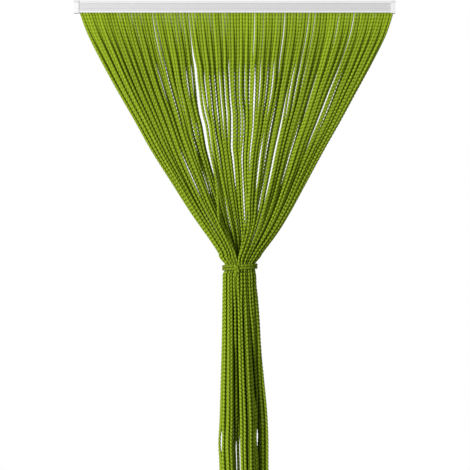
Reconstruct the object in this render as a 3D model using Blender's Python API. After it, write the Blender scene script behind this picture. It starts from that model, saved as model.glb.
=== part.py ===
"""Fly screen curtain: strings on a head rail, gathered below it by a tied cord.

Metres, +Z up. The origin is the middle of the rail's flat top, and the front faces -Y.
The tables of the strings are in millimetres.
"""
import math
from collections import namedtuple

import bmesh
import bpy
import numpy as np
from mathutils import Matrix

MM = 0.001

# Rail section
RAIL_LENGTH = 0.900
RAIL_HEIGHT = 0.034
RAIL_BACK = 0.008
TOP_FRONT = -0.008
RAIL_FRONT = -0.014
SLOPE_HEIGHT = 0.008
STEP_DROP = 0.0225
STEP_DEPTH = 0.0007
WALL = 0.0016
SLOT_WIDTH = 0.010

# End caps
CAP_LENGTH = 0.0138
CAP_PLATE = 0.002
CAP_WALL = 0.0015
TONGUE_LENGTH = 0.012
TONGUE_BOTTOM = -0.0285
CLEAR = 0.0003

# Heading strip and strings
STRING_COUNT = 104
STRING_LENGTH = 2.0
STRING_SIDES = 4
STRIP_WIDTH = 0.0142
STRIP_HEIGHT = 0.003
STRIP_OVERHANG = 0.0015
ROOT_DROP = 30.9
EDGE_INSET = 4.3
GOLDEN = 0.6180339887
ROW_START = 0.3
PUSH_REACH = 0.05
GAP_SQUARENESS = 0.6
WIDE_GAP = 14.0
WIDE_GAP_TAPER = 15.0
STRING_CLEAR = 0.9

# How the strings lie in the bundle. Places run from -1 to 1 across it and, from front to
# back, through it.
CENTER_PLACE = -0.15
CENTER_REACH = 0.31
CENTER_SPREAD = 0.45
CENTER_FRONT = 0.15
FLANK_BACK = -0.10
MEETING_PLACE = -0.17
MEETING_INSET = 0.04
LAYERING = 9
PACKED_PITCH = 7.3
PACKING_ROUNDS = 300
PACKING_STEP = 0.25
SETTLING_ROUNDS = 250
SETTLING_SHARES = (0.2, 0.4, 0.6, 0.8, 0.9, 1.0)
SETTLING_STEP = 0.15

# Tie
TIE_DROP = 746
TIE_CORD = 7.8
TIE_THICK = 5.6
TIE_PITCH = 7.4
TIE_CLEAR = 0.4
TIE_LEAN = math.radians(3.0)
TIE_STEPS = 44
TIE_SIDES = 8
KNOT_PLACE = 5.0
KNOT_SIZE = (12.0, 11.0, 16.0)
KNOT_FORWARD = 2.5
END_RADIUS = 3.2

# Points of the two free ends, from the knot's middle
LONG_END = ((-0.5, -3.0, -4.0), (-2.0, -5.5, -11.0), (-3.5, -6.0, -19.0), (-3.0, -5.0, -28.0))
SHORT_END = ((1.5, -3.0, -4.0), (4.0, -5.5, -10.0), (6.0, -5.5, -17.0))

# Colours
CORD_GREEN = (0.24, 0.36, 0.02)
RAIL_SILVER = (0.80, 0.80, 0.82)
CAP_WHITE = (0.86, 0.86, 0.87)

CHANNEL_Y = (RAIL_BACK + RAIL_FRONT) / 2
STRIP_BOTTOM = -RAIL_HEIGHT + WALL + CLEAR

# The rail's outline, depth and height, seen from its right end
RAIL_OUTLINE = (
    (RAIL_BACK, 0.0),
    (TOP_FRONT, 0.0),
    (RAIL_FRONT, -SLOPE_HEIGHT),
    (RAIL_FRONT, -STEP_DROP),
    (RAIL_FRONT + STEP_DEPTH, -STEP_DROP - STEP_DEPTH),
    (RAIL_FRONT + STEP_DEPTH, -RAIL_HEIGHT),
    (RAIL_BACK, -RAIL_HEIGHT),
)

# One row for each level: how far it lies below the rail's top, the outer edges of the
# strings, half of the depth that their middles fill, how far they crowd to the two sides
# and are gathered into a round bundle (0 to 1), and half of a string's thickness.
Section = namedtuple("Section", "drop left right deep crowd gather half")
SECTIONS = (
    Section(30, -436.0, 446.0, 0.0, 0.00, 0.00, 3.7),
    Section(83, -416.5, 429.0, 3.0, 0.05, 0.00, 3.7),
    Section(167, -374.5, 387.0, 6.0, 0.15, 0.00, 3.8),
    Section(251, -329.7, 342.3, 9.0, 0.22, 0.01, 4.0),
    Section(335, -282.0, 297.5, 11.5, 0.30, 0.03, 4.0),
    Section(419, -234.5, 250.0, 14.0, 0.40, 0.06, 4.0),
    Section(503, -181.3, 205.0, 18.0, 0.55, 0.11, 3.8),
    Section(587, -128.0, 160.3, 24.0, 0.75, 0.22, 3.5),
    Section(654, -83.0, 120.0, 30.0, 0.80, 0.45, 3.2),
    Section(704, -49.7, 82.5, 36.0, 0.80, 0.80, 3.0),
    Section(722, -44.5, 71.5, 40.0, 0.80, 0.92, 2.9),
    Section(735, -31.0, 59.6, 36.0, 0.80, 1.00, 2.9),
    Section(757, -31.0, 59.6, 36.0, 0.80, 1.00, 2.9),
    Section(768, -36.5, 61.5, 41.5, 0.80, 1.00, 3.0),
    Section(800, -36.5, 62.5, 42.5, 0.80, 1.00, 3.1),
    Section(839, -37.0, 65.5, 43.0, 0.80, 1.00, 3.3),
    Section(951, -38.5, 72.0, 48.0, 0.80, 1.00, 3.8),
    Section(1065, -41.3, 81.0, 53.0, 0.80, 1.00, 4.1),
    Section(1175, -44.5, 90.2, 55.0, 0.80, 1.00, 4.2),
    Section(1245, -47.5, 92.5, 56.0, 0.80, 1.00, 4.2),
    Section(1300, -44.8, 92.5, 56.0, 0.80, 1.00, 4.2),
    Section(2060, -44.0, 90.0, 56.0, 0.80, 1.00, 4.2),
)

# One row for each gap between the strings: the string at its right, where it opens and
# closes below the rail's top, and the greatest distance between the middles of the two.
Gap = namedtuple("Gap", "after top bottom apart")
GAPS = (
    Gap(18, 40, 160, 8.5),
    Gap(22, 130, 300, 9.5),
    Gap(24, 40, 220, 9.5),
    Gap(25, 40, 380, 9.5),
    Gap(27, 320, 550, 9.0),
    Gap(20, 400, 560, 9.0),
    Gap(33, 180, 300, 10.5),
    Gap(35, 160, 290, 10.5),
    Gap(36, 20, 220, 9.5),
    Gap(36, 110, 540, 20.0),
    Gap(41, 280, 520, 11.0),
    Gap(49, 150, 550, 13.5),
    Gap(54, 150, 480, 10.5),
    Gap(54, 400, 650, 9.5),
    Gap(58, 20, 180, 10.0),
    Gap(59, 160, 540, 10.5),
    Gap(66, 370, 540, 9.5),
    Gap(68, 20, 230, 10.5),
    Gap(69, 250, 550, 11.0),
    Gap(73, 240, 560, 10.5),
    Gap(74, 160, 350, 10.0),
    Gap(76, 20, 320, 10.0),
    Gap(78, 20, 310, 10.0),
    Gap(80, 40, 240, 9.5),
    Gap(82, 310, 540, 9.5),
    Gap(83, 60, 370, 10.0),
    Gap(86, 40, 240, 10.5),
    Gap(91, 20, 460, 13.0),
    Gap(93, 140, 410, 11.5),
    Gap(96, 40, 260, 10.0),
)

# Stretches where the strings hang looser, so that every second gap opens
Stretch = namedtuple("Stretch", "first last top bottom apart")
LOOSE_STRETCHES = (
    Stretch(39, 47, 190, 330, 11.0),
    Stretch(43, 47, 280, 400, 10.0),
    Stretch(51, 61, 180, 320, 10.5),
    Stretch(51, 53, 280, 430, 10.5),
    Stretch(31, 33, 300, 410, 9.5),
    Stretch(64, 66, 170, 330, 10.0),
)

# One row for each furrow down the gathered strings: its place across them from -1 to 1,
# where it opens and closes, its clear width, and whether it goes right through or only
# the front strings part.
Furrow = namedtuple("Furrow", "place top bottom wide through")
FURROWS = (
    Furrow(-0.915, 1165, 1300, 2.0, True),
    Furrow(-0.370, 790, 2400, 1.5, False),
    Furrow(-0.281, 1190, 1700, 1.5, True),
    Furrow(-0.165, 800, 1200, 2.0, False),
    Furrow(-0.132, 1182, 1700, 1.5, True),
    Furrow(0.165, 790, 2400, 2.0, False),
    Furrow(0.600, 850, 1160, 1.0, False),
    Furrow(0.620, 1162, 1288, 2.5, True),
)
FURROW_LENGTH = 60

# Strings that lie back from the others: from where to where across the gathered strings,
# from what drop, and how far those in front lie back
SET_BACK = ((-0.36, -0.12, 820, 30.0), (0.60, 0.90, 880, 43.0))
SET_BACK_LENGTH = 200
SET_BACK_EDGE = 0.08

# Two strings that change places in the bundle, and shifts across of single strings at
# some drops
SWAPPED = (36, 24)
SHIFTS = (
    (36, ((480, 0), (530, -6), (566, -14), (629, -30), (690, -12), (722, 0))),
    (35, ((480, 0), (566, 4), (660, 4), (722, 0))),
    (37, ((480, 0), (566, -4), (660, -4), (722, 0))),
    (38, ((480, 0), (566, -2.5), (660, -2.5), (722, 0))),
    (39, ((480, 0), (566, -1), (660, -1), (722, 0))),
    *((k, ((566, 0), (620, 8), (680, 6), (722, 0))) for k in (61, 62, 63, 64, 65)),
    *((k, ((566, 0), (620, 5), (680, 4), (722, 0))) for k in (66, 67, 68)),
    (69, ((566, 0), (620, 2), (680, 2), (722, 0))),
    (95, ((1130, 0), (1200, -2.5), (1300, -2.5), (1360, 0))),
    (101, ((830, 0), (950, -4), (2060, -4))),
)

# Levels at which each string bends, from its root to below its end
LEVELS = (ROOT_DROP, 170, 330, 470, 590, 690, 735, 757, 772, 950, 1130, 1235, 1330, 2060)
TIE_REACH = 11

# The strings' numbers, left to right, and each one's turn in depth, 0 in front
INDEX = np.arange(STRING_COUNT)
TURN = (INDEX * GOLDEN + ROW_START) % 1.0


def clear_scene():
    for old in list(bpy.data.objects):
        bpy.data.objects.remove(old, do_unlink=True)


def new_collection(name):
    group = bpy.data.collections.new(name)
    bpy.context.scene.collection.children.link(group)
    return group


def finish_with(made, color, roughness, metallic=0.0):
    """Give an object a material of its own."""
    coat = bpy.data.materials.new(made.name + "_finish")
    coat.use_nodes = True
    shader = coat.node_tree.nodes["Principled BSDF"]
    shader.inputs["Base Color"].default_value = (*color, 1.0)
    shader.inputs["Roughness"].default_value = roughness
    shader.inputs["Metallic"].default_value = metallic
    made.data.materials.clear()
    made.data.materials.append(coat)


def mesh_from_curve(curve, name, group):
    """A closed mesh object made from a curve, with its end faces joined to its sides."""
    guide = bpy.data.objects.new(name + "_curve", curve)
    group.objects.link(guide)
    bpy.context.view_layer.update()
    evaluated = guide.evaluated_get(bpy.context.evaluated_depsgraph_get())
    mesh = bpy.data.meshes.new_from_object(evaluated)
    bpy.data.objects.remove(guide, do_unlink=True)
    shape = bmesh.new()
    shape.from_mesh(mesh)
    bmesh.ops.remove_doubles(shape, verts=shape.verts, dist=0.01 * MM)
    bmesh.ops.recalc_face_normals(shape, faces=shape.faces)
    shape.to_mesh(mesh)
    shape.free()
    made = bpy.data.objects.new(name, mesh)
    group.objects.link(made)
    return made


def prism(name, outline, start, end, group):
    """An outline in Y and Z drawn along X from start to end."""
    curve = bpy.data.curves.new(name, "CURVE")
    curve.dimensions = "2D"
    curve.fill_mode = "BOTH"
    curve.extrude = (end - start) / 2
    line = curve.splines.new("POLY")
    line.points.add(len(outline) - 1)
    for point, (depth, height) in zip(line.points, outline):
        point.co = (depth, height, 0.0, 1.0)
    line.use_cyclic_u = True
    made = mesh_from_curve(curve, name, group)
    made.rotation_euler = (math.pi / 2, 0.0, math.pi / 2)
    made.location = ((start + end) / 2, 0.0, 0.0)
    return made


def box(name, low, high, group):
    """A box between two corners."""
    mesh = bpy.data.meshes.new(name)
    shape = bmesh.new()
    bmesh.ops.create_cube(shape, size=1.0)
    sides = [b - a for a, b in zip(low, high)]
    shape.transform(Matrix.Diagonal((*sides, 1.0)))
    shape.to_mesh(mesh)
    shape.free()
    made = bpy.data.objects.new(name, mesh)
    made.location = [(a + b) / 2 for a, b in zip(low, high)]
    group.objects.link(made)
    return made


def tubes(name, routes, sides, group):
    """Round cords along routes of points, each with its own radius, in millimetres."""
    curve = bpy.data.curves.new(name, "CURVE")
    curve.dimensions = "3D"
    curve.bevel_depth = MM
    curve.bevel_resolution = sides // 2 - 2
    curve.use_fill_caps = True
    for route in routes:
        line = curve.splines.new("POLY")
        line.points.add(len(route) - 1)
        for point, (x, y, z, radius) in zip(line.points, route):
            point.co = (x * MM, y * MM, z * MM, 1.0)
            point.radius = radius
    return mesh_from_curve(curve, name, group)


def combine(target, tool, operation):
    """Join a tool to an object or cut it out, and hide the tool."""
    step = target.modifiers.new(operation.title(), "BOOLEAN")
    step.operation = operation
    step.solver = "EXACT"
    step.object = tool
    tool.hide_render = True
    tool.display_type = "WIRE"


def grown(outline, distance):
    """An outline with each side moved outwards, its points listed anticlockwise."""
    moved = []
    for k, (x, y) in enumerate(outline):
        back = outline[k - 1]
        ahead = outline[(k + 1) % len(outline)]
        first = math.atan2(y - back[1], x - back[0]) - math.pi / 2
        second = math.atan2(ahead[1] - y, ahead[0] - x) - math.pi / 2
        reach = distance / math.cos((second - first) / 2)
        middle = (first + second) / 2
        if abs(second - first) > math.pi:
            middle += math.pi
            reach = -reach
        moved.append((x + reach * math.cos(middle), y + reach * math.sin(middle)))
    return moved


def make_rail(parts, cutters):
    """The aluminium section, open along a slot underneath."""
    half = RAIL_LENGTH / 2 - CAP_PLATE - CLEAR
    past = half + WALL
    rail = prism("rail", RAIL_OUTLINE, -half, half, parts)
    channel = prism("channel", grown(RAIL_OUTLINE, -WALL), -past, past, cutters)
    combine(rail, channel, "DIFFERENCE")
    low = (-past, CHANNEL_Y - SLOT_WIDTH / 2, -RAIL_HEIGHT - WALL)
    high = (past, CHANNEL_Y + SLOT_WIDTH / 2, -RAIL_HEIGHT + 2 * WALL)
    combine(rail, box("slot", low, high, cutters), "DIFFERENCE")
    finish_with(rail, RAIL_SILVER, 0.38, 0.6)


def make_cap(name, side, parts, cutters):
    """A plastic cap: end plate, cover round the rail's front and foot, and a tongue."""
    outer = side * RAIL_LENGTH / 2
    inner = side * (RAIL_LENGTH / 2 - CAP_LENGTH)
    plate = side * (RAIL_LENGTH / 2 - CAP_PLATE)
    past = inner - side * WALL
    cover = grown(RAIL_OUTLINE, CAP_WALL)
    cap = prism(name, cover, min(inner, outer), max(inner, outer), parts)
    room = grown(RAIL_OUTLINE, CLEAR)
    pocket = prism(name + "_pocket", room, min(past, plate), max(past, plate), cutters)
    combine(cap, pocket, "DIFFERENCE")

    low = (min(past, plate), CHANNEL_Y - SLOT_WIDTH / 2 - CLEAR, -RAIL_HEIGHT - 3 * WALL)
    high = (max(past, plate), CHANNEL_Y + SLOT_WIDTH / 2 + CLEAR, -RAIL_HEIGHT + WALL)
    combine(cap, box(name + "_slot", low, high, cutters), "DIFFERENCE")

    end = plate - side * TONGUE_LENGTH
    root = plate + side * CLEAR
    low = (min(end, root), TOP_FRONT + WALL, TONGUE_BOTTOM)
    high = (max(end, root), RAIL_BACK - WALL - CLEAR, -WALL - CLEAR)
    combine(cap, box(name + "_tongue", low, high, cutters), "UNION")

    reach = RAIL_LENGTH
    above = box(name + "_above", (-reach, -reach, 0.0), (reach, reach, reach), cutters)
    combine(cap, above, "DIFFERENCE")
    behind = box(name + "_behind", (-reach, RAIL_BACK, -reach), (reach, reach, reach), cutters)
    combine(cap, behind, "DIFFERENCE")
    finish_with(cap, CAP_WHITE, 0.45)


def read(column, drop):
    """A column of the table of levels, read by a smooth curve at some drop."""
    at = np.array([row.drop for row in SECTIONS], float)
    value = np.array([getattr(row, column) for row in SECTIONS], float)
    steps = np.diff(value) / np.diff(at)
    slope = np.concatenate(([steps[0]], (steps[1:] + steps[:-1]) / 2, [steps[-1]]))
    flat = np.concatenate(([False], steps[1:] * steps[:-1] <= 0, [False]))
    slope[flat] = 0.0
    k = int(np.clip(np.searchsorted(at, drop) - 1, 0, len(at) - 2))
    span = at[k + 1] - at[k]
    t = min(max((drop - at[k]) / span, 0.0), 1.0)
    rise = value[k + 1] - value[k]
    bend = (slope[k] * span - rise) * (1 - t) - (slope[k + 1] * span - rise) * t
    return value[k] + rise * t + bend * t * (1 - t)


def bundle_section():
    """Middle and half size of the ellipse that the tied strings' middles fill."""
    left = read("left", TIE_DROP) + EDGE_INSET
    right = read("right", TIE_DROP) - EDGE_INSET
    center = np.array(((left + right) / 2, CHANNEL_Y / MM))
    reach = np.array(((right - left) / 2, read("deep", TIE_DROP)))
    return center, reach


def pushed_apart(places, pitch):
    """How far to move each string away from those nearer than the pitch."""
    apart = places[:, None] - places[None]
    distance = np.hypot(apart[..., 0], apart[..., 1]) + np.eye(STRING_COUNT) * pitch
    push = np.clip(pitch - distance, 0, None) / distance
    return (apart * push[..., None]).sum(axis=1)


def drawn_in(places):
    """Places outside the unit circle brought back onto it."""
    return places / np.maximum(np.hypot(places[:, 0], places[:, 1]), 1.0)[:, None]


def packed_bundle():
    """Places of the strings in the round bundle, -1 to 1 across it and through it.

    The middle strings hang at the back and those of the two sides meet in front of
    them. All take turns in depth, and any that lie too close are moved apart.
    """
    side = (2 * INDEX + 1) / STRING_COUNT - 1
    inner = (side - CENTER_PLACE) / CENTER_REACH
    middle = np.abs(inner) < 1
    edge = np.sign(inner)
    start = CENTER_PLACE + edge * CENTER_REACH
    first = MEETING_PLACE + edge * MEETING_INSET
    flank = first + (edge - first) * np.clip((side - start) / (edge - start), 0, 1)
    across = np.where(middle, MEETING_PLACE + inner * CENTER_SPREAD, flank)
    in_front = ~middle & (np.abs(across - MEETING_PLACE) < CENTER_SPREAD)
    near = np.where(middle, CENTER_FRONT, -1.0)
    far = np.where(in_front, FLANK_BACK, 1.0)
    through = (near + (far - near) * TURN) * np.sqrt(1.02 - across ** 2)
    through[SWAPPED[0]] = -0.9 * math.sqrt(1.02 - across[SWAPPED[0]] ** 2)
    across[list(SWAPPED)] = across[list(SWAPPED[::-1])]
    through[list(SWAPPED)] = through[list(SWAPPED[::-1])]

    reach = bundle_section()[1]
    places = np.column_stack((across, through)) * reach
    for _ in range(PACKING_ROUNDS):
        places = places + PACKING_STEP * pushed_apart(places, PACKED_PITCH)
        places = drawn_in(places / reach) * reach
    return places / reach


def eased(part):
    """0 below 0, 1 above 1 and smooth between."""
    part = np.clip(part, 0.0, 1.0)
    return part * part * (3 - 2 * part)


def forwardness(bundle):
    """1 for strings at the front of the bundle and -1 for those at its back."""
    edge = np.sqrt(1.02 - np.minimum(bundle[:, 0] ** 2, 1.0))
    return np.clip(-bundle[:, 1] / edge, -1, 1)


def kept_open(x, drop, bundle):
    """Strings moved out of the furrows, each to its own side."""
    left = read("left", drop) + EDGE_INSET
    right = read("right", drop) - EDGE_INSET
    half = read("half", drop)
    for furrow in FURROWS:
        opening = eased((drop - furrow.top) / FURROW_LENGTH)
        opening = opening * eased((furrow.bottom - drop) / FURROW_LENGTH)
        if opening > 0:
            line = (left + right) / 2 + furrow.place * (right - left) / 2
            side = np.sign(bundle[:, 0] - furrow.place)
            apart = opening * (furrow.wide / 2 + half)
            moved = line + side * np.maximum(side * (x - line), apart)
            parting = furrow.through | (forwardness(bundle) > 0)
            x = np.where(parting, moved, x)
    return x


def openings():
    """All gaps, those of the looser stretches too."""
    inner = [Gap(after, row.top, row.bottom, row.apart) for row in LOOSE_STRETCHES
             for after in range(row.first, row.last + 1, 2)]
    return (*GAPS, *inner)


def places_at(drop, bundle):
    """Middles of all strings at one level: across and in depth."""
    left = read("left", drop) + EDGE_INSET
    right = read("right", drop) - EDGE_INSET
    gather = read("gather", drop)
    even = 2 * INDEX / (STRING_COUNT - 1) - 1
    even = even + read("crowd", drop) * even * np.abs(even) * (1 - np.abs(even))
    across = (1 - gather) * even + gather * bundle[:, 0]
    x = (left + right) / 2 + across * (right - left) / 2
    pitch = (right - left) / STRING_COUNT
    for gap in openings():
        part = min(max((drop - gap.top) / (gap.bottom - gap.top), 0.0), 1.0)
        # wide gaps taper more than narrow ones
        squareness = GAP_SQUARENESS + max(gap.apart - WIDE_GAP, 0.0) / WIDE_GAP_TAPER
        opening = math.sin(math.pi * part) ** squareness
        push = opening * max(gap.apart - pitch, 0.0)
        away = (INDEX + 0.5 - gap.after) / STRING_COUNT
        x = x + push / 2 * np.sign(away) * np.exp(-np.abs(away) / PUSH_REACH)
    for single, steps in SHIFTS:
        x[single] += np.interp(drop, *zip(*steps))
    layered = 1 - (1 - gather) ** LAYERING
    depth = (1 - layered) * (2 * TURN - 1) + layered * bundle[:, 1]
    y = CHANNEL_Y / MM + depth * read("deep", drop)
    forward = (1 + forwardness(bundle)) / 2
    for start, end, top, deep in SET_BACK:
        inside = eased((bundle[:, 0] - start) / SET_BACK_EDGE + 0.5)
        inside = inside * eased((end - bundle[:, 0]) / SET_BACK_EDGE + 0.5)
        y = y + eased((drop - top) / SET_BACK_LENGTH) * deep * inside * forward
    return np.column_stack((kept_open(x, drop, bundle), y))


def settle(grid, bundle, pitches):
    """Move strings that pass too close apart, at each level and on the way to the next.

    Those at the tie stay inside it, and the furrows below it stay open.
    """
    center, reach = bundle_section()
    for _ in range(SETTLING_ROUNDS):
        move = np.zeros_like(grid)
        for k in range(1, len(grid)):
            for share in SETTLING_SHARES:
                between = grid[k - 1] + (grid[k] - grid[k - 1]) * share
                pitch = pitches[k - 1] + (pitches[k] - pitches[k - 1]) * share
                step = SETTLING_STEP * pushed_apart(between, pitch)
                move[k - 1] += step * (1 - share)
                move[k] += step * share
        grid[1:] += move[1:]
        for k, drop in enumerate(LEVELS):
            if abs(drop - TIE_DROP) <= TIE_REACH:
                grid[k] = center + drawn_in((grid[k] - center) / reach) * reach
            elif drop > TIE_DROP:
                grid[k][:, 0] = kept_open(grid[k][:, 0], drop, bundle)
    return grid


def string_routes():
    """The route of every string from its root, cut off at the strings' one length."""
    bundle = packed_bundle()
    halves = np.array([read("half", drop) for drop in LEVELS])
    grid = np.array([places_at(drop, bundle) for drop in LEVELS])
    grid = settle(grid, bundle, 2 * halves + STRING_CLEAR)
    routes = []
    for places in grid.transpose(1, 0, 2):
        points = np.column_stack((places, -np.array(LEVELS), halves))
        steps = np.linalg.norm(np.diff(points[:, :3], axis=0), axis=1)
        share = (STRING_LENGTH / MM - steps[:-1].sum()) / steps[-1]
        end = points[-2] + (points[-1] - points[-2]) * share
        routes.append(np.vstack((points[:-1], end)))
    return routes


def make_strings(parts, cutters):
    """All strings, their roots fused into the strip that lies in the rail."""
    routes = string_routes()
    strands = tubes("strands", routes, STRING_SIDES, cutters)
    first = (routes[0][0][0] - EDGE_INSET) * MM - STRIP_OVERHANG
    last = (routes[-1][0][0] + EDGE_INSET) * MM
    low = (first, CHANNEL_Y - STRIP_WIDTH / 2, STRIP_BOTTOM)
    high = (last, CHANNEL_Y + STRIP_WIDTH / 2, STRIP_BOTTOM + STRIP_HEIGHT)
    strings = box("strings", low, high, parts)
    combine(strings, strands, "UNION")
    finish_with(strings, CORD_GREEN, 0.85)


def make_knot(middle, cutters):
    """The knot's lump, its middle in millimetres."""
    mesh = bpy.data.meshes.new("knot")
    shape = bmesh.new()
    bmesh.ops.create_uvsphere(shape, u_segments=14, v_segments=9, radius=0.5)
    shape.transform(Matrix.Diagonal((*[size * MM for size in KNOT_SIZE], 1.0)))
    shape.to_mesh(mesh)
    shape.free()
    knot = bpy.data.objects.new("knot", mesh)
    knot.location = [value * MM for value in middle]
    cutters.objects.link(knot)
    return knot


def turn_of_tie(name, level, center, wide, deep, group):
    """One turn of cord round the bundle, pressed flat on it, its level in millimetres."""
    points = []
    faces = []
    for k in range(TIE_STEPS):
        around = 2 * math.pi * k / TIE_STEPS
        for j in range(TIE_SIDES):
            section = 2 * math.pi * (j + 0.5) / TIE_SIDES
            out = TIE_THICK / 2 * math.cos(section)
            x = (wide + out) * math.cos(around)
            y = (deep + out) * math.sin(around)
            z = level + TIE_CORD / 2 * math.sin(section) + x * math.tan(TIE_LEAN) - TIE_DROP
            points.append(((center[0] + x) * MM, (center[1] + y) * MM, z * MM))
            here, after = k * TIE_SIDES, (k + 1) % TIE_STEPS * TIE_SIDES
            up = (j + 1) % TIE_SIDES
            faces.append((here + j, after + j, after + up, here + up))
    mesh = bpy.data.meshes.new(name)
    mesh.from_pydata(points, [], faces)
    made = bpy.data.objects.new(name, mesh)
    group.objects.link(made)
    return made


def make_tie(parts, cutters):
    """The tie: two turns of cord round the bundle, a knot in front and two free ends."""
    center, reach = bundle_section()
    wide, deep = reach + read("half", TIE_DROP) + TIE_CLEAR + TIE_THICK / 2
    tie = turn_of_tie("tie", TIE_PITCH / 2, center, wide, deep, parts)
    lower = turn_of_tie("lower_turn", -TIE_PITCH / 2, center, wide, deep, cutters)
    combine(tie, lower, "UNION")

    aside = KNOT_PLACE - center[0]
    knot_y = center[1] - deep * math.sqrt(1 - (aside / wide) ** 2) - KNOT_FORWARD
    knot_z = aside * math.tan(TIE_LEAN) - TIE_DROP
    combine(tie, make_knot((KNOT_PLACE, knot_y, knot_z), cutters), "UNION")
    for name, end in (("long_end", LONG_END), ("short_end", SHORT_END)):
        route = [(KNOT_PLACE + x, knot_y + y, knot_z + z, END_RADIUS) for x, y, z in end]
        combine(tie, tubes(name, [route], TIE_SIDES, cutters), "UNION")
    finish_with(tie, CORD_GREEN, 0.85)


def main():
    clear_scene()
    parts = new_collection("fly_screen_curtain")
    cutters = new_collection("cutters")
    make_rail(parts, cutters)
    make_cap("cap_left", -1, parts, cutters)
    make_cap("cap_right", 1, parts, cutters)
    make_strings(parts, cutters)
    make_tie(parts, cutters)


main()
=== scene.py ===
import math

import bmesh
import bpy
import numpy as np
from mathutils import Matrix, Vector


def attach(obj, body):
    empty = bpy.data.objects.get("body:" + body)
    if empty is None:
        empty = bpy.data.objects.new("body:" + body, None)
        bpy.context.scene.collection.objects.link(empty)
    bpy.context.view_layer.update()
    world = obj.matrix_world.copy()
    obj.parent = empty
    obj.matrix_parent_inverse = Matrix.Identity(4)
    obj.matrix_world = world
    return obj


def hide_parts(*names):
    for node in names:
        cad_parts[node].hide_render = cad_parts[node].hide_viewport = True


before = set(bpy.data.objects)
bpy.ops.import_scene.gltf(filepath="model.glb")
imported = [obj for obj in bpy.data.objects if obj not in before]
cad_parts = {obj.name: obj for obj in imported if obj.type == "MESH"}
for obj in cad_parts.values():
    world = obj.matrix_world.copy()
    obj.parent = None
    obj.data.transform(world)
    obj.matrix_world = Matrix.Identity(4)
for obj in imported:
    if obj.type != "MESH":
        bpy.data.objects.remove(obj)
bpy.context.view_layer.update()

# Fly screen curtain: looped green cords hanging from a slim rail, gathered by a tied cord.
# The curtain's measures are in millimetres until its meshes are made, the studio's in metres.
mm = 0.001


class Wire:
    # an output socket of a material; sums on it become Math nodes
    def __init__(self, tree, socket=None):
        self.tree = tree
        self.socket = socket

    def add(self, kind, settings=None, values=None, out=0):
        made = self.tree.nodes.new("ShaderNode" + kind)
        for name, value in (settings or {}).items():
            setattr(made, name, value)
        for name, value in (values or {}).items():
            self.put(made.inputs[name], value)
        return Wire(self.tree, made.outputs[out])

    def put(self, socket, value):
        if isinstance(value, Wire):
            self.tree.links.new(value.socket, socket)
        elif isinstance(value, tuple) and socket.type == "RGBA":
            socket.default_value = (*value, 1.0)
        else:
            socket.default_value = value

    def maths(self, operation, first, second=0.0, clamp=False):
        return self.add("Math", {"operation": operation, "use_clamp": clamp},
                        {0: first, 1: second})

    def __add__(self, other):
        return self.maths("ADD", self, other)

    def __sub__(self, other):
        return self.maths("SUBTRACT", self, other)

    def __mul__(self, other):
        return self.maths("MULTIPLY", self, other)

    def __rsub__(self, other):
        return self.maths("SUBTRACT", other, self)

    __radd__ = __add__
    __rmul__ = __mul__

    def __abs__(self):
        return self.maths("ABSOLUTE", self)

    def sine(self):
        return self.maths("SINE", self)

    def clamped(self):
        return self.maths("ADD", self, 0.0, True)

    def eased(self, low, high):
        # 0 below low, 1 above high, smooth between
        return self.add("MapRange", {"interpolation_type": "SMOOTHSTEP"},
                        {"Value": self, "From Min": low, "From Max": high})

    def tint(self, first, second):
        # two colours mixed by this value; sockets 6 and 7 are the node's colours
        return self.add("Mix", {"data_type": "RGBA"}, {0: self, 6: first, 7: second}, 2)

    def dim(self, color):
        # a colour made lighter or darker by this value
        return self.add("VectorMath", {"operation": "SCALE"}, {"Vector": color, "Scale": self})

    def part(self, name):
        return self.add("SeparateXYZ", None, {"Vector": self}, name)

    def noise(self, scale, detail):
        # noise at this place
        return self.add("TexNoise", None, {"Vector": self, "Scale": scale, "Detail": detail})

    def bump(self, strength, distance):
        # the normals of a surface with this height
        return self.add("Bump", None,
                        {"Strength": strength, "Distance": distance, "Height": self})


def newMaterial(name):
    made = bpy.data.materials.new(name)
    made.use_nodes = True
    return made, Wire(made.node_tree)


def dress(made, wire, **looks):
    # gives the material's shader its values
    shader = made.node_tree.nodes["Principled BSDF"]
    for label, value in looks.items():
        wire.put(shader.inputs[label.replace("_", " ")], value)
    return made


# In each look, fuzz, patches, streaks, grain and clouds are the scale and detail of a noise,
# and bump is a strength and a distance
cordLook = {
    "ridge": (0.290, 0.392, 0.028),     # painted highlight on the loops' crests
    "body": (0.262, 0.370, 0.011),
    "paintedShade": (0.070, 0.112, 0.001),    # painted shade between the loops, most at the cord's sides
    "paintedHighlightSpan": (0.35, 1.0),           # heights on a loop over which the painted highlight comes in
    "ridgeParts": {"lift": 0.8, "yarn": 0.12, "fuzz": 0.25, "less": 0.10},
    "paintedShadeSpan": (0.10, 0.85),         # heights over which the painted shade fades
    "flankSpan": (0.1, 0.9),
    "paintedShadeInFront": 0.3,               # share of the painted shade's colour that the front has
    "yarns": 5,
    "yarnTurns": 2,                     # in each loop
    "fuzz": (1400.0, 3.0),
    "patches": (9.0, 2.0),
    "toneSpread": 0.30,                 # from string to string
    "patchSpread": 0.12,                # from place to place
    "liftBump": 0.5,
    "yarnBump": 0.105,
    "fuzzBump": 0.30,
    "bump": (0.5, 1.2 * mm),
    "roughness": 0.74,
    "fuzzRoughness": 0.2,
    "specular": 0.08,
}


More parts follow.
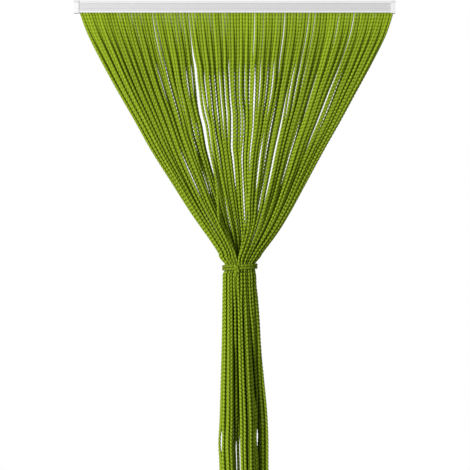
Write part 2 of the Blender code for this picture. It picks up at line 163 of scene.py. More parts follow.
def cordMaterial(name, look):
    made, wire = newMaterial(name)
    # chain holds the cosine and sine of the place round the cord and the loops along it
    chain = wire.add("Attribute", {"attribute_name": "chain"}, None, "Vector")
    tone = wire.add("Attribute", {"attribute_name": "tone"}, None, "Fac")
    front, side, along = chain.part("X"), chain.part("Y"), chain.part("Z")
    turn = abs(wire.maths("ARCTAN2", side, front))
    lag = cordShape["chevron"] * (front * front - side * side)
    lift = abs(((along + lag) * math.pi).sine())
    yarn = (turn * look["yarns"] - along * (2 * math.pi * look["yarnTurns"])).sine()
    place = wire.add("TexCoord", None, None, "Object")
    fuzz = place.noise(*look["fuzz"])
    patches = place.noise(*look["patches"])

    # painted highlight: lighter where a loop is highest, with yarn and fuzz marks in it
    parts = look["ridgeParts"]
    ridge = (lift.eased(*look["paintedHighlightSpan"]) * parts["lift"] + yarn * parts["yarn"]
             + fuzz * parts["fuzz"] - parts["less"]).clamped()
    # painted shade: darker between the loops, most at the cord's sides where neighbours press
    flank = (side * side).eased(*look["flankSpan"])
    inFront = look["paintedShadeInFront"]
    paintedShade = (1 - lift.eased(*look["paintedShadeSpan"])) * (flank * (1 - inFront) + inFront)
    color = ridge.tint(look["body"], look["ridge"])
    color = paintedShade.tint(color, look["paintedShade"])
    shade = (1 - look["toneSpread"] / 2 + tone * look["toneSpread"]
             + patches * look["patchSpread"] - look["patchSpread"] / 2)
    height = lift * look["liftBump"] + yarn * look["yarnBump"] + fuzz * look["fuzzBump"]
    return dress(made, wire, Base_Color=shade.dim(color), Normal=height.bump(*look["bump"]),
                 Roughness=look["roughness"] + fuzz * look["fuzzRoughness"],
                 Specular_IOR_Level=look["specular"])


railLook = {
    # painted light: the slope made far lighter than the front, as lit from above
    "slope": (0.985, 0.980, 0.985),
    "creaseShade": (0.600, 0.582, 0.632),    # painted shade along the edge where slope and front meet
    "front": (0.645, 0.637, 0.650),
    "foot": (0.652, 0.645, 0.674),
    # painted highlight along the bottom lip
    "lip": (0.900, 0.905, 0.895),
    # the slope's colour is at the top; each next one comes in over these drops
    "bands": (("creaseShade", 7.0, 8.0), ("front", 9.6, 11.2), ("foot", 22.0, 23.2),
              ("lip", 31.0, 31.6)),
    "drawn": (6.0, 900.0, 900.0),       # streaks lie along the rail
    "streaks": (1.0, 3.0),
    "grain": (1800.0, 2.0),
    "clouds": (60.0, 3.0),
    "shades": {"streaks": 0.03, "clouds": 0.03, "grain": 0.02},
    "heights": {"streaks": 0.6, "grain": 0.4},
    "bump": (0.25, 0.2 * mm),
    "roughness": 0.42,
    "roughnesses": {"streaks": 0.15, "clouds": 0.10},
    "metallic": 0.15,
    "coat": 0.15,
    "coatRoughness": 0.3,
}


def railMaterial(name, look):
    made, wire = newMaterial(name)
    place = wire.add("TexCoord", None, None, "Object")
    drop = place.part("Z") * (-1 / mm)      # millimetres below the top
    drawn = wire.add("Mapping", None, {"Vector": place, "Scale": look["drawn"]})
    streaks = drawn.noise(*look["streaks"])
    grain = place.noise(*look["grain"])
    clouds = place.noise(*look["clouds"])
    # bands down the rail, with painted light on the slope, painted shade at the crease and a
    # painted highlight on the lip
    color = look["slope"]
    for band, low, high in look["bands"]:
        color = drop.eased(low, high).tint(color, look[band])
    shades, heights, roughnesses = look["shades"], look["heights"], look["roughnesses"]
    shade = (1 + (streaks - 0.5) * shades["streaks"] + (clouds - 0.5) * shades["clouds"]
             + (grain - 0.5) * shades["grain"])
    rough = (look["roughness"] + (streaks - 0.5) * roughnesses["streaks"]
             + (clouds - 0.5) * roughnesses["clouds"])
    height = streaks * heights["streaks"] + grain * heights["grain"]
    return dress(made, wire, Base_Color=shade.dim(color), Roughness=rough,
                 Normal=height.bump(*look["bump"]), Metallic=look["metallic"],
                 Coat_Weight=look["coat"], Coat_Roughness=look["coatRoughness"])


capLook = {
    "plastic": (0.80, 0.79, 0.81),
    "clouds": (90.0, 4.0),
    "grain": (2600.0, 1.0),
    "scuffs": 0.05,
    "bump": (0.2, 0.2 * mm),
    "roughness": 0.45,
    "cloudRoughness": 0.2,
    "specular": 0.45,
}


def capMaterial(name, look):
    made, wire = newMaterial(name)
    place = wire.add("TexCoord", None, None, "Object")
    clouds = place.noise(*look["clouds"])
    grain = place.noise(*look["grain"])
    shade = 1 + (clouds - 0.5) * look["scuffs"]
    rough = look["roughness"] + (clouds - 0.5) * look["cloudRoughness"]
    return dress(made, wire, Base_Color=shade.dim(look["plastic"]), Roughness=rough,
                 Normal=grain.bump(*look["bump"]), Specular_IOR_Level=look["specular"])


tapeLook = {
    "yarn": (0.230, 0.330, 0.020),
    # painted shade where the weave lies low
    "between": (0.120, 0.180, 0.006),
    "weave": 1.1 * mm,                  # from thread to thread and back
    "fuzz": (1200.0, 3.0),
    "yarnParts": {"lift": 0.8, "fuzz": 0.3, "less": 0.05},
    "fuzzBump": 0.3,
    "bump": (0.4, 0.5 * mm),
    "roughness": 0.85,
    "specular": 0.12,
}


def tapeMaterial(name, look):
    # a woven tape, its threads set across each other
    made, wire = newMaterial(name)
    place = wire.add("TexCoord", None, None, "Object")
    turns = 2 * math.pi / look["weave"]
    across, along = (place.part("X") * turns).sine(), (place.part("Y") * turns).sine()
    lift = (across * along * 0.5 + 0.5).clamped()
    fuzz = place.noise(*look["fuzz"])
    parts = look["yarnParts"]
    # painted shade: darker where the threads lie low in the weave
    yarn = (lift * parts["lift"] + fuzz * parts["fuzz"] - parts["less"]).clamped()
    height = lift + fuzz * look["fuzzBump"]
    return dress(made, wire, Base_Color=yarn.tint(look["between"], look["yarn"]),
                 Normal=height.bump(*look["bump"]), Roughness=look["roughness"],
                 Specular_IOR_Level=look["specular"])


curtain = {
    "strings": 104,
    "length": 2000.0,           # each string, root to end
    "rootDrop": 30.9,
    "middleDepth": -3.0,        # the slot's middle
    "edgeInset": 4.3,           # from the outer edge to the outermost string's middle
    "rowStep": 0.6180339887,    # spreads neighbouring strings over the curtain's depth
    "rowStart": 0.3,
    "pushReach": 0.05,          # how far a gap pushes its neighbours, as a share of all
    "gapSquareness": 0.6,
    "wideGap": 14.0,            # wider gaps taper more than narrow ones
    "wideGapTaper": 15.0,
    "clear": 0.9,               # between two strings
    "tieDrop": 746.0,
    "tieReach": 11.0,           # half the height over which the tie holds them
}

# Each row: drop below the rail's top, left and right outer edge, half depth, crowding to
# the sides, gathering into the bundle, half of a string's thickness
sectionColumns = ("drop", "left", "right", "deep", "crowd", "gather", "half")
sections = (
    (30, -436.0, 446.0, 0.0, 0.00, 0.00, 3.7),
    (83, -416.5, 429.0, 3.0, 0.05, 0.00, 3.7),
    (167, -374.5, 387.0, 6.0, 0.15, 0.00, 3.8),
    (251, -329.7, 342.3, 9.0, 0.22, 0.01, 4.0),
    (335, -282.0, 297.5, 11.5, 0.30, 0.03, 4.0),
    (419, -234.5, 250.0, 14.0, 0.40, 0.06, 4.0),
    (503, -181.3, 205.0, 18.0, 0.55, 0.11, 3.8),
    (587, -128.0, 160.3, 24.0, 0.75, 0.22, 3.5),
    (654, -83.0, 120.0, 30.0, 0.80, 0.45, 3.2),
    (704, -49.7, 82.5, 36.0, 0.80, 0.80, 3.0),
    (722, -44.5, 71.5, 40.0, 0.80, 0.92, 2.9),
    (735, -31.0, 59.6, 36.0, 0.80, 1.00, 2.9),
    (757, -31.0, 59.6, 36.0, 0.80, 1.00, 2.9),
    (768, -36.5, 61.5, 41.5, 0.80, 1.00, 3.0),
    (800, -36.5, 62.5, 42.5, 0.80, 1.00, 3.1),
    (839, -37.0, 65.5, 43.0, 0.80, 1.00, 3.3),
    (951, -38.5, 72.0, 48.0, 0.80, 1.00, 3.8),
    (1065, -41.3, 81.0, 53.0, 0.80, 1.00, 4.1),
    (1175, -44.5, 90.2, 55.0, 0.80, 1.00, 4.2),
    (1245, -47.5, 92.5, 56.0, 0.80, 1.00, 4.2),
    (1300, -44.8, 92.5, 56.0, 0.80, 1.00, 4.2),
    (2060, -44.0, 90.0, 56.0, 0.80, 1.00, 4.2),
)

# Gaps between the strings: the string at the gap's right, drop where it opens and closes,
# greatest distance between the middles of the two strings
gaps = (
    (18, 40, 160, 8.5), (22, 130, 300, 9.5), (24, 40, 220, 9.5), (25, 40, 380, 9.5),
    (27, 320, 550, 9.0), (20, 400, 560, 9.0), (33, 180, 300, 10.5), (35, 160, 290, 10.5),
    (36, 20, 220, 9.5), (36, 110, 540, 20.0), (41, 280, 520, 11.0), (49, 150, 550, 13.5),
    (54, 150, 480, 10.5), (54, 400, 650, 9.5), (58, 20, 180, 10.0), (59, 160, 540, 10.5),
    (66, 370, 540, 9.5), (68, 20, 230, 10.5), (69, 250, 550, 11.0), (73, 240, 560, 10.5),
    (74, 160, 350, 10.0), (76, 20, 320, 10.0), (78, 20, 310, 10.0), (80, 40, 240, 9.5),
    (82, 310, 540, 9.5), (83, 60, 370, 10.0), (86, 40, 240, 10.5), (91, 20, 460, 13.0),
    (93, 140, 410, 11.5), (96, 40, 260, 10.0),
)

# Stretches where the strings hang looser and every second gap opens: first and last string,
# drop where it opens and closes, greatest distance
looseStretches = (
    (39, 47, 190, 330, 11.0), (43, 47, 280, 400, 10.0), (51, 61, 180, 320, 10.5),
    (51, 53, 280, 430, 10.5), (31, 33, 300, 410, 9.5), (64, 66, 170, 330, 10.0),
)

# Furrows down the gathered strings: place across from -1 to 1, drop where it opens and
# closes, clear width, and 1 where it goes right through or 0 where only the front parts
furrows = (
    (-0.915, 1165, 1300, 2.0, 1),
    (-0.37, 790, 2400, 1.5, 0),
    (-0.281, 1190, 1700, 1.5, 1),
    (-0.165, 800, 1200, 2.0, 0),
    (-0.132, 1182, 1700, 1.5, 1),
    (0.165, 790, 2400, 2.0, 0),
    (0.60, 850, 1160, 1.0, 0),
    (0.62, 1162, 1288, 2.5, 1),
)
furrowLength = 60.0         # drop over which a furrow opens

# Strings that lie back from the front: from and to where across, drop from which, depth
setBack = ((-0.36, -0.12, 820, 30.0), (0.60, 0.90, 880, 43.0))
setBackEdge = 0.08          # width across over which they go back
setBackLength = 200.0       # drop over which they go back

# Strings that change places in the bundle, and shifts across of single strings
swapped = (36, 24)
shifts = (
    (36, ((480, 0), (530, -6), (566, -14), (629, -30), (690, -12), (722, 0))),
    (35, ((480, 0), (566, 4), (660, 4), (722, 0))),
    (37, ((480, 0), (566, -4), (660, -4), (722, 0))),
    (38, ((480, 0), (566, -2.5), (660, -2.5), (722, 0))),
    (39, ((480, 0), (566, -1), (660, -1), (722, 0))),
    *((k, ((566, 0), (620, 8), (680, 6), (722, 0))) for k in (61, 62, 63, 64, 65)),
    *((k, ((566, 0), (620, 5), (680, 4), (722, 0))) for k in (66, 67, 68)),
    (69, ((566, 0), (620, 2), (680, 2), (722, 0))),
    (95, ((1130, 0), (1200, -2.5), (1300, -2.5), (1360, 0))),
    (101, ((830, 0), (950, -4), (2060, -4))),
)

# How the strings lie in the bundle; across and depth run from -1 to 1
packing = {
    "middle": -0.15,            # place in the row above of the strings that hang at the back,
    "reach": 0.31,              # and how far along the row they reach to each side of it
    "spread": 0.45,             # half the width that they fill in the bundle
    "front": 0.15,              # depth of the foremost of them
    "meeting": -0.17,           # where the strings of the two sides meet in front of them
    "meetingInset": 0.04,
    "flankBack": -0.10,         # depth of the hindmost of those in front
    "swappedDepth": -0.9,       # depth at the first of the two places that are swapped
    "roundness": 1.02,          # a little above 1, so that the outermost have some depth
    "layering": 9,              # how soon the strings take their depth in the bundle
    "pitch": 7.3,
    "rounds": 300,
    "step": 0.25,
}

# Where the solid strings bend, and how they settle side by side
bends = (curtain["rootDrop"], 170, 330, 470, 590, 690, 735, 757, 772, 950, 1130, 1235, 1330,
         2060)
settling = {
    "rounds": 250, "shares": (0.2, 0.4, 0.6, 0.8, 0.9, 1.0), "step": 0.15,
    "fineRounds": 40, "fineShares": (0.5, 1.0), "fineClear": 0.3,
}

# Levels of the looped strings below their roots: first and last drop of each run, and step
fineLevels = ((60, 700, 32), (706, 790, 10), (800, 1400, 30), (1400, 2061, 60))

count = curtain["strings"]
number = np.arange(count)
rowTurn = (number * curtain["rowStep"] + curtain["rowStart"]) % 1.0


def eased(t):
    t = np.clip(t, 0.0, 1.0)
    return t * t * (3 - 2 * t)


def readColumn(column, drop):
    # a section's value at a drop, on a smooth curve through the rows
    at = np.array([row[0] for row in sections], float)
    value = np.array([row[sectionColumns.index(column)] for row in sections], float)
    steps = np.diff(value) / np.diff(at)
    slope = np.concatenate(([steps[0]], (steps[1:] + steps[:-1]) / 2, [steps[-1]]))
    flat = np.concatenate(([False], steps[1:] * steps[:-1] <= 0, [False]))
    slope[flat] = 0.0
    k = int(np.clip(np.searchsorted(at, drop) - 1, 0, len(at) - 2))
    span = at[k + 1] - at[k]
    t = min(max((drop - at[k]) / span, 0.0), 1.0)
    rise = value[k + 1] - value[k]
    bend = (slope[k] * span - rise) * (1 - t) - (slope[k + 1] * span - rise) * t
    return value[k] + rise * t + bend * t * (1 - t)


def outermost(drop):
    # where the middles of the first and last string are
    inset = curtain["edgeInset"]
    return readColumn("left", drop) + inset, readColumn("right", drop) - inset


def bundleEllipse():
    # middle and half size of the ellipse that the tied strings' middles fill
    left, right = outermost(curtain["tieDrop"])
    center = np.array(((left + right) / 2, curtain["middleDepth"]))
    return center, np.array(((right - left) / 2, readColumn("deep", curtain["tieDrop"])))


def pushedApart(places, pitch):
    apart = places[:, None] - places[None]
    distance = np.hypot(apart[..., 0], apart[..., 1]) + np.eye(count) * pitch
    push = np.clip(pitch - distance, 0, None) / distance
    return (apart * push[..., None]).sum(axis=1)


def drawnIn(places):
    # places outside the circle of radius 1 moved onto it
    return places / np.maximum(np.hypot(places[:, 0], places[:, 1]), 1.0)[:, None]


def packedBundle():
    # the middle strings hang at the back, those of the two sides meet in front of them
    side = (2 * number + 1) / count - 1
    inner = (side - packing["middle"]) / packing["reach"]
    middle = np.abs(inner) < 1
    edge = np.sign(inner)
    start = packing["middle"] + edge * packing["reach"]
    first = packing["meeting"] + edge * packing["meetingInset"]
    flank = first + (edge - first) * np.clip((side - start) / (edge - start), 0, 1)
    across = np.where(middle, packing["meeting"] + inner * packing["spread"], flank)
    inFront = ~middle & (np.abs(across - packing["meeting"]) < packing["spread"])
    near = np.where(middle, packing["front"], -1.0)
    far = np.where(inFront, packing["flankBack"], 1.0)
    through = (near + (far - near) * rowTurn) * np.sqrt(packing["roundness"] - across ** 2)
    place = swapped[0]
    through[place] = packing["swappedDepth"] * math.sqrt(packing["roundness"] - across[place] ** 2)
    across[list(swapped)] = across[list(swapped[::-1])]
    through[list(swapped)] = through[list(swapped[::-1])]
    reach = bundleEllipse()[1]
    places = np.column_stack((across, through)) * reach
    for _ in range(packing["rounds"]):
        places = places + packing["step"] * pushedApart(places, packing["pitch"])
        places = drawnIn(places / reach) * reach
    return places / reach


def forwardness(bundle):
    # 1 for strings at the front of the bundle and -1 for those at its back
    deepest = np.sqrt(packing["roundness"] - np.minimum(bundle[:, 0] ** 2, 1.0))
    return np.clip(-bundle[:, 1] / deepest, -1, 1)


def openings():
    # all gaps, those of the looser stretches too
    return gaps + tuple((after, top, bottom, apart) for first, last, top, bottom, apart
                        in looseStretches for after in range(first, last + 1, 2))


def placesAt(drop, bundle):
    # across and depth of each string's middle at a drop
    left, right = outermost(drop)
    gather = readColumn("gather", drop)
    even = 2 * number / (count - 1) - 1
    even = even + readColumn("crowd", drop) * even * np.abs(even) * (1 - np.abs(even))
    across = (1 - gather) * even + gather * bundle[:, 0]
    x = (left + right) / 2 + across * (right - left) / 2
    pitch = (right - left) / count
    for after, top, bottom, apart in openings():
        part = min(max((drop - top) / (bottom - top), 0.0), 1.0)
        wider = max(apart - curtain["wideGap"], 0.0) / curtain["wideGapTaper"]
        opening = math.sin(math.pi * part) ** (curtain["gapSquareness"] + wider)
        push = opening * max(apart - pitch, 0.0)
        away = (number + 0.5 - after) / count
        x = x + push / 2 * np.sign(away) * np.exp(-np.abs(away) / curtain["pushReach"])
    for single, steps in shifts:
        x[single] += np.interp(drop, *zip(*steps))
    layered = 1 - (1 - gather) ** packing["layering"]
    depth = (1 - layered) * (2 * rowTurn - 1) + layered * bundle[:, 1]
    y = curtain["middleDepth"] + depth * readColumn("deep", drop)
    across, forward = bundle[:, 0], forwardness(bundle)
    for start, end, top, deep in setBack:
        inside = (eased((across - start) / setBackEdge + 0.5)
                  * eased((end - across) / setBackEdge + 0.5))
        y = y + eased((drop - top) / setBackLength) * deep * inside * (1 + forward) / 2
    return np.column_stack((keptOpen(x, drop, bundle), y))


def keptOpen(x, drop, bundle):
    # strings moved out of the furrows, each to its own side
    left, right = outermost(drop)
    half = readColumn("half", drop)
    for place, top, bottom, wide, through in furrows:
        opening = eased((drop - top) / furrowLength) * eased((bottom - drop) / furrowLength)
        if opening > 0:
            line = (left + right) / 2 + place * (right - left) / 2
            side = np.sign(bundle[:, 0] - place)
            apart = opening * (wide / 2 + half)
            moved = line + side * np.maximum(side * (x - line), apart)
            x = moved if through else np.where(forwardness(bundle) > 0, moved, x)
    return x


def settle(grid, drops, pitches, rounds, shares, bundle):
    # strings that pass too close moved apart, at each level and on the way to the next
    center, reach = bundleEllipse()
    for _ in range(rounds):
        move = np.zeros_like(grid)
        for k in range(1, len(grid)):
            for share in shares:
                between = grid[k - 1] + (grid[k] - grid[k - 1]) * share
                pitch = pitches[k - 1] + (pitches[k] - pitches[k - 1]) * share
                step = settling["step"] * pushedApart(between, pitch)
                move[k - 1] += step * (1 - share)
                move[k] += step * share
        grid[1:] += move[1:]
        for k, drop in enumerate(drops):
            if abs(drop - curtain["tieDrop"]) <= curtain["tieReach"]:
                grid[k] = center + drawnIn((grid[k] - center) / reach) * reach
            elif drop > curtain["tieDrop"]:
                grid[k][:, 0] = keptOpen(grid[k][:, 0], drop, bundle)
    return grid


def stringPaths():
    # places of all strings at fine levels, near the points of the solid strings
    bundle = packedBundle()
    halves = np.array([readColumn("half", drop) for drop in bends])
    grid = np.array([placesAt(drop, bundle) for drop in bends])
    start = grid.copy()
    pitches = 2 * halves + curtain["clear"]
    settled = settle(grid, bends, pitches, settling["rounds"], settling["shares"], bundle)
    shift = settled - start
    drops = np.concatenate(([curtain["rootDrop"]], *(np.arange(*run) for run in fineLevels)))
    fine = np.array([placesAt(drop, bundle) for drop in drops])
    for i, drop in enumerate(drops):
        k = int(np.clip(np.searchsorted(bends, drop, side="right") - 1, 0, len(bends) - 2))
        t = (drop - bends[k]) / (bends[k + 1] - bends[k])
        fine[i] += shift[k] + (shift[k + 1] - shift[k]) * eased(t)
    halves = np.array([readColumn("half", drop) for drop in drops])
    fine = settle(fine, drops, 2 * halves + settling["fineClear"], settling["fineRounds"],
                  settling["fineShares"], bundle)
    return drops, fine, halves


cordShape = {
    "loop": 10.6,           # length of one loop of the chain
    "rings": 3,             # rings of points to a loop
    "sides": 8,
    "crest": 4.65,          # radius at a loop's widest
    # radius between loops, at drops below the rail's top
    "waist": ((30, 4.6), (160, 4.4), (210, 2.8), (560, 2.8), (640, 2.3), (2100, 2.3)),
    "beading": 1.25,        # above 1 the loops stand apart more
    "margin": 1.2,          # added to a solid string's half thickness for its chain's size
    "fullSize": 5.3,        # the size at which crest and waist hold
    "flatness": 0.84,       # depth of the chain against its width
    "chevron": 0.17,        # how far the flanks lag behind the middle, in loops
    "twist": 0.0016,        # turns of the chain, radians a millimetre
    "tip": 0.35,            # radius at both ends against that beside them
    "phaseSpread": 0.1,     # chance shift along of a string's loops, in loops
    "turnSpread": 0.5,      # chance turn of a string's flat side, radians
    "smoothing": 6,         # steps from level to level
    "groups": 6,            # pieces that the strings are made in
    "rows": 3,              # rows in the bake map for each string
    "seed": 11,
}


def unit(vectors):
    return vectors / np.linalg.norm(vectors, axis=1)[:, None]


def lengthAlong(path):
    steps = np.linalg.norm(np.diff(path, axis=0), axis=1)
    return np.concatenate(([0.0], np.cumsum(steps)))


def smoothPath(points, steps):
    # a smooth curve through points, by the same number of steps between each two
    before = np.vstack((2 * points[0] - points[1], points[:-1]))
    after = np.vstack((points[1:], 2 * points[-1] - points[-2]))
    slope = (after - before) / 2
    t = (np.arange(steps) / steps)[None, :, None]
    a, b = points[:-1, None], points[1:, None]
    m, n = slope[:-1, None], slope[1:, None]
    curve = ((2 * t ** 3 - 3 * t ** 2 + 1) * a + (t ** 3 - 2 * t ** 2 + t) * m
             + (3 * t ** 2 - 2 * t ** 3) * b + (t ** 3 - t ** 2) * n)
    return np.vstack((curve.reshape(-1, points.shape[1]), points[-1:]))


def chainPoints(path, halves, phase, turned, facing=(0.0, -1.0, 0.0), twist=cordShape["twist"],
                flatness=cordShape["flatness"], tip=cordShape["tip"]):
    # rings of points round a path, in millimetres; facing is where the flat side looks
    shape = cordShape
    run = lengthAlong(path)
    at = np.arange(0.0, run[-1] + 1e-6, shape["loop"] / shape["rings"])
    middle = np.column_stack([np.interp(at, run, path[:, k]) for k in range(3)])
    facing = np.broadcast_to(facing, path.shape)
    behind = -np.column_stack([np.interp(at, run, facing[:, k]) for k in range(3)])
    ahead = unit(np.gradient(middle, axis=0))
    across = unit(np.cross(ahead, behind))
    behind = np.cross(across, ahead)

    angle = np.arange(shape["sides"]) * 2 * np.pi / shape["sides"]
    flat, side = np.cos(angle), np.sin(angle)
    along = at / shape["loop"] + phase
    lag = shape["chevron"] * (flat ** 2 - side ** 2)
    lift = np.abs(np.sin(np.pi * (along[:, None] + lag[None]))) ** shape["beading"]
    waist = np.interp(-middle[:, 2], *zip(*shape["waist"]))[:, None]
    size = (np.interp(at, run, halves) + shape["margin"]) / shape["fullSize"]
    radius = (waist + (shape["crest"] - waist) * lift) * size[:, None]
    radius[[0, -1]] *= tip

    spin = turned + at * twist
    wide = radius * side
    deep = radius * flat * flatness
    u = wide * np.cos(spin)[:, None] - deep * np.sin(spin)[:, None]
    v = wide * np.sin(spin)[:, None] + deep * np.cos(spin)[:, None]
    points = middle[:, None] + u[..., None] * across[:, None] + v[..., None] * behind[:, None]
    chain = np.empty(points.shape)
    chain[..., 0], chain[..., 1], chain[..., 2] = flat, side, along[:, None]
    return points, chain


# Places in the bake maps: a map of chains has rows, and one more row for all end faces; a
# box has a row for each of its six sides
bakeMap = {
    "start": 0.004,         # of a row, along the map
    "span": 0.99,
    "filled": 0.86,         # share of a row's height that its chain takes
    "endSize": 0.3,         # radius of an end face in its own place
    "boxEdge": 0.01,
    "boxRowEdge": 0.05,
}


def linked(name, data):
    made = bpy.data.objects.new(name, data)
    bpy.context.scene.collection.objects.link(made)
    return made


def chainMesh(name, tubes, material, rows):
    # one mesh of several chains; tubes holds (points, chain, tone) of each
    points, chains, tones, faces, maps = [], [], [], [], []
    first = 0
    strips = rows * len(tubes) + 1
    endPlaces = 2 * len(tubes)
    tall = bakeMap["filled"] / strips
    for t, (rings, chain, tone) in enumerate(tubes):
        n, sides = rings.shape[:2]
        ring = np.arange(n - 1)[:, None] * sides + first
        here = np.arange(sides)[None]
        after = (here + 1) % sides
        quads = np.stack((ring + here, ring + after, ring + sides + after,
                          ring + sides + here), -1)
        faces.extend(quads.reshape(-1, 4).tolist())
        per = -(-(n - 1) // rows)
        part, start = np.divmod(np.arange(n - 1), per)
        base = ((t * rows + part) / strips)[:, None]
        uv = np.empty((n - 1, sides, 4, 2))
        for corners, at in (((0, 1), start), ((2, 3), start + 1)):
            uv[..., corners, 0] = (bakeMap["start"] + bakeMap["span"] * (at / per))[:, None, None]
        for corners, at in (((0, 3), here), ((1, 2), here + 1)):
            uv[..., corners, 1] = (base + at / sides * tall)[..., None]
        maps.append(uv.reshape(-1, 2))
        last = first + (n - 1) * sides
        turn = 2 * np.pi * np.arange(sides) / sides
        spot = np.column_stack((np.cos(turn), np.sin(turn)))
        size = bakeMap["endSize"] / np.array((endPlaces, strips))
        for e, end in enumerate((range(first + sides - 1, first - 1, -1),
                                 range(last, last + sides))):
            faces.append(list(end))
            maps.append(((2 * t + e + 0.5) / endPlaces, 1 - 0.5 / strips) + spot * size)
        points.append(rings.reshape(-1, 3) * mm)
        chains.append(chain.reshape(-1, 3))
        tones.append(np.full(n * sides, tone))
        first += n * sides
    mesh = bpy.data.meshes.new(name)
    mesh.from_pydata(np.concatenate(points).tolist(), [], faces, shade_flat=False)
    layer = mesh.uv_layers.new(name="OFBake")
    layer.uv.foreach_set("vector", np.concatenate(maps).astype(np.float32).ravel())
    chainData = mesh.attributes.new("chain", "FLOAT_VECTOR", "POINT")
    chainData.data.foreach_set("vector", np.concatenate(chains).astype(np.float32).ravel())
    toneData = mesh.attributes.new("tone", "FLOAT", "POINT")
    toneData.data.foreach_set("value", np.concatenate(tones).astype(np.float32))
    mesh.materials.append(material)
    made = linked(name, mesh)
    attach(made, "root")
    return made


def cutToLength(path, thickness):
    # the path ends where its string does
    run = lengthAlong(path)
    last = np.searchsorted(run, curtain["length"])
    share = (curtain["length"] - run[last - 1]) / (run[last] - run[last - 1])
    end = path[last - 1] + (path[last] - path[last - 1]) * share
    return np.vstack((path[:last], end)), np.append(thickness[:last], thickness[last - 1])


def makeStrings(material):
    shape = cordShape
    drops, fine, halves = stringPaths()
    luck = np.random.default_rng(shape["seed"])
    tubes = []
    for k in range(count):
        path = smoothPath(np.column_stack((fine[:, k], -drops, halves)), shape["smoothing"])
        path, thickness = cutToLength(path[:, :3], path[:, 3])
        phase = luck.uniform(-shape["phaseSpread"], shape["phaseSpread"])
        turned = luck.uniform(-shape["turnSpread"], shape["turnSpread"])
        tone = luck.random()
        tubes.append((*chainPoints(path, thickness, phase, turned), tone))
    bounds = np.linspace(0, count, shape["groups"] + 1).round().astype(int)
    for g, (a, b) in enumerate(zip(bounds[:-1], bounds[1:])):
        made = chainMesh(f"strings_{g + 1}", tubes[a:b], material, shape["rows"])
        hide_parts("strings")
    print("strings:", count, "in", shape["groups"], "pieces")


heading = {
    "wide": 14.2, "high": 3.0, "bottom": -32.1, "left": -437.5, "right": 446.0,
    "round": 0.6, "roundSteps": 3, "profile": 0.5,
}


def makeHeading(material):
    # the strip in the rail that the strings are sewn to
    low = (heading["left"], curtain["middleDepth"] - heading["wide"] / 2, heading["bottom"])
    size = (heading["right"] - heading["left"], heading["wide"], heading["high"])
    edge, rowEdge = bakeMap["boxEdge"], bakeMap["boxRowEdge"]
    mesh = bpy.data.meshes.new("heading_strip")
    shape = bmesh.new()
    bmesh.ops.create_cube(shape, size=1.0)
    for point in shape.verts:
        point.co = [(a + (c + 0.5) * side) * mm for a, c, side in zip(low, point.co, size)]
    bmesh.ops.bevel(shape, geom=shape.edges[:], offset=heading["round"] * mm,
                    segments=heading["roundSteps"], affect="EDGES", profile=heading["profile"])
    layer = shape.loops.layers.uv.new("OFBake")
    for face in shape.faces:
        face.smooth = True
        flat = max(range(3), key=lambda k: abs(face.normal[k]))
        row = 2 * flat + (face.normal[flat] > 0)
        for corner in face.loops:
            x, y, z = [(c / mm - a) / side for c, a, side in zip(corner.vert.co, low, size)]
            u, v = ((y, z), (x, z), (x, y))[flat]
            corner[layer].uv = (edge + (1 - 2 * edge) * u,
                                (row + rowEdge + (1 - 2 * rowEdge) * v) / 6)
    shape.to_mesh(mesh)
    shape.free()
    mesh.materials.append(material)
    made = linked("heading_strip", mesh)
    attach(made, "root")
    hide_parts("strings")
    print("heading strip: made")


tie = {
    "drop": curtain["tieDrop"],
    "wide": 7.8,                # the cord pressed flat on the bundle: down it, and outward
    "thick": 5.6,
    "half": 3.8,                # half thickness that gives its chain's size
    "pitch": 7.4,               # from turn to turn
    "clear": 0.4,
    "lean": math.radians(3.0),
    "steps": 120,
    # the two turns made darker than the strings: painted shade
    "tone": -0.5,
    "turnPhase": 0.3,
    "knotPlace": 5.0,
    "knotForward": 2.5,
    # places from the knot's middle: its two crossing bights, then the free ends
    "bights": (
        ((-5.5, 3.5, 7.5), (-5.0, -1.0, 7.0), (-2.0, -3.6, 3.0), (2.5, -3.8, -2.0),
         (5.0, -1.5, -6.0), (5.0, 3.5, -7.0)),
        ((5.0, 3.5, 7.5), (5.0, -0.5, 6.5), (3.0, -2.2, 3.5), (-2.0, -6.2, -0.5),
         (-4.0, -3.0, -5.0), (-4.5, 3.5, -7.0)),
    ),
    "ends": (
        ((-0.5, -1.0, -2.0), (-1.2, -3.6, -6.5), (-2.2, -4.4, -12.0), (-3.2, -4.2, -19.0),
         (-3.0, -3.6, -27.5)),
        ((1.5, -1.0, -2.0), (3.4, -3.4, -6.0), (5.2, -4.0, -11.0), (5.6, -3.8, -17.0)),
    ),
    "knotHalf": 2.2,
    "knotPhase": 0.23,
    "knotTurned": 0.4,
    "knotTone": 0.4,
    "knotSmoothing": 5,
}


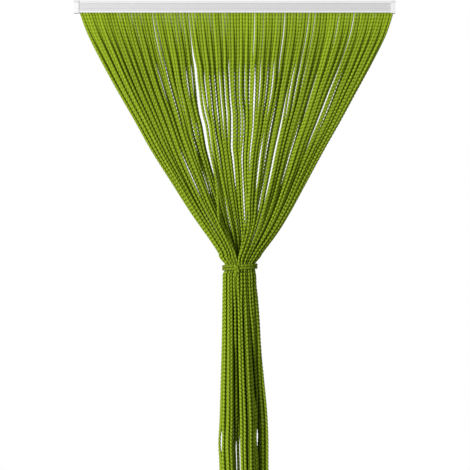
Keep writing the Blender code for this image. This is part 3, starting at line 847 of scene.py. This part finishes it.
def makeTie(material):
    center, reach = bundleEllipse()
    wide, deep = reach + readColumn("half", tie["drop"]) + tie["clear"] + tie["thick"] / 2
    tubes = []
    angle = 2 * np.pi * np.arange(tie["steps"] + 1) / tie["steps"]
    x, y = wide * np.cos(angle), deep * np.sin(angle)
    outward = unit(np.column_stack((x / wide ** 2, y / deep ** 2, 0 * x)))
    for turn, level in enumerate((tie["pitch"] / 2, -tie["pitch"] / 2)):
        z = level + x * math.tan(tie["lean"]) - tie["drop"]
        path = np.column_stack((center[0] + x, center[1] + y, z))
        cord = chainPoints(path, np.full(len(path), tie["half"]), tie["turnPhase"] * turn, 0.0,
                           outward, twist=0.0, flatness=tie["thick"] / tie["wide"], tip=1.0)
        tubes.append((*cord, tie["tone"]))
    aside = tie["knotPlace"] - center[0]
    knot = np.array((tie["knotPlace"],
                     center[1] - deep * math.sqrt(1 - (aside / wide) ** 2) - tie["knotForward"],
                     aside * math.tan(tie["lean"]) - tie["drop"]))
    for k, points in enumerate((*tie["bights"], *tie["ends"])):
        path = smoothPath(knot + np.array(points), tie["knotSmoothing"])
        cord = chainPoints(path, np.full(len(path), tie["knotHalf"]), tie["knotPhase"] * k,
                           tie["knotTurned"])
        tubes.append((*cord, tie["knotTone"]))
    made = chainMesh("tie_cord", tubes, material, 1)
    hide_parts("tie")
    print("tie: two turns, a knot and two free ends")


def dressRail():
    aluminium = railMaterial("satin_aluminium", railLook)
    plastic = capMaterial("white_plastic", capLook)
    for name, finish in (("rail", aluminium), ("cap_left", plastic), ("cap_right", plastic)):
        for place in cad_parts[name].material_slots:
            place.material = finish
    print("rail and caps: finished")


studio = {
    "frameWidth": 1.316,        # metres that the picture spans at the strings
    "middle": (0.0007, -0.6566),
    "distance": 7.0,
    "aimDepth": -0.008,
    "sensor": 36.0,
    "clipEnd": 100.0,
    "worldSeen": 1.0,           # the white behind the curtain, and the light that it gives
    "worldLight": 0.17,
    "shadeTint": (0.92, 1.00, 0.88),
    "aim": (0.0, 0.0, -0.7),    # where both lamps look
    "lamps": {
        "key": {"energy": 960.0, "size": 3.6, "place": (-5.8, -7.2, 1.0)},
        "fill": {"energy": 12.0, "size": 1.2, "place": (2.2, -2.0, 1.0)},
    },
    "floor": (0.86, 0.86, 0.85),
    "floorRoughness": 0.9,
    "floorHalf": 3.0,
    "floorHeight": -2.06,
}


def makeStudio():
    scene = bpy.context.scene
    scene.view_settings.view_transform = "Standard"
    cameraData = bpy.data.cameras.new("camera")
    cameraData.sensor_width = studio["sensor"]
    cameraData.lens = studio["sensor"] * studio["distance"] / studio["frameWidth"]
    cameraData.clip_end = studio["clipEnd"]
    camera = linked("camera", cameraData)
    x, z = studio["middle"]
    camera.location = (x, studio["aimDepth"] - studio["distance"], z)
    camera.rotation_euler = (math.pi / 2, 0.0, 0.0)
    scene.camera = camera

    for name, facts in studio["lamps"].items():
        lamp = bpy.data.lights.new(name, "AREA")
        lamp.energy, lamp.size = facts["energy"], facts["size"]
        made = linked(name, lamp)
        made.location = facts["place"]
        toAim = Vector(studio["aim"]) - made.location
        made.rotation_euler = toAim.to_track_quat("-Z", "Y").to_euler()

    world = bpy.data.worlds.new("studio")
    scene.world = world
    world.use_nodes = True
    wire = Wire(world.node_tree)
    seen = wire.add("LightPath", None, None, "Is Camera Ray")
    strength = seen * (studio["worldSeen"] - studio["worldLight"]) + studio["worldLight"]
    background = world.node_tree.nodes["Background"]
    wire.put(background.inputs["Color"], seen.tint(studio["shadeTint"], (1.0, 1.0, 1.0)))
    wire.put(background.inputs["Strength"], strength)

    mesh = bpy.data.meshes.new("floor")
    shape = bmesh.new()
    bmesh.ops.create_grid(shape, x_segments=1, y_segments=1, size=studio["floorHalf"])
    shape.to_mesh(mesh)
    shape.free()
    mesh.materials.append(dress(*newMaterial("pale_floor"), Base_Color=studio["floor"],
                                Roughness=studio["floorRoughness"]))
    floor = linked("floor", mesh)
    floor.location = (0.0, 0.0, studio["floorHeight"])
    print("studio: camera, lights and floor")


makeStudio()
cordFinish = cordMaterial("looped_green_cord", cordLook)
makeStrings(cordFinish)
makeTie(cordFinish)
makeHeading(tapeMaterial("woven_green_tape", tapeLook))
dressRail()
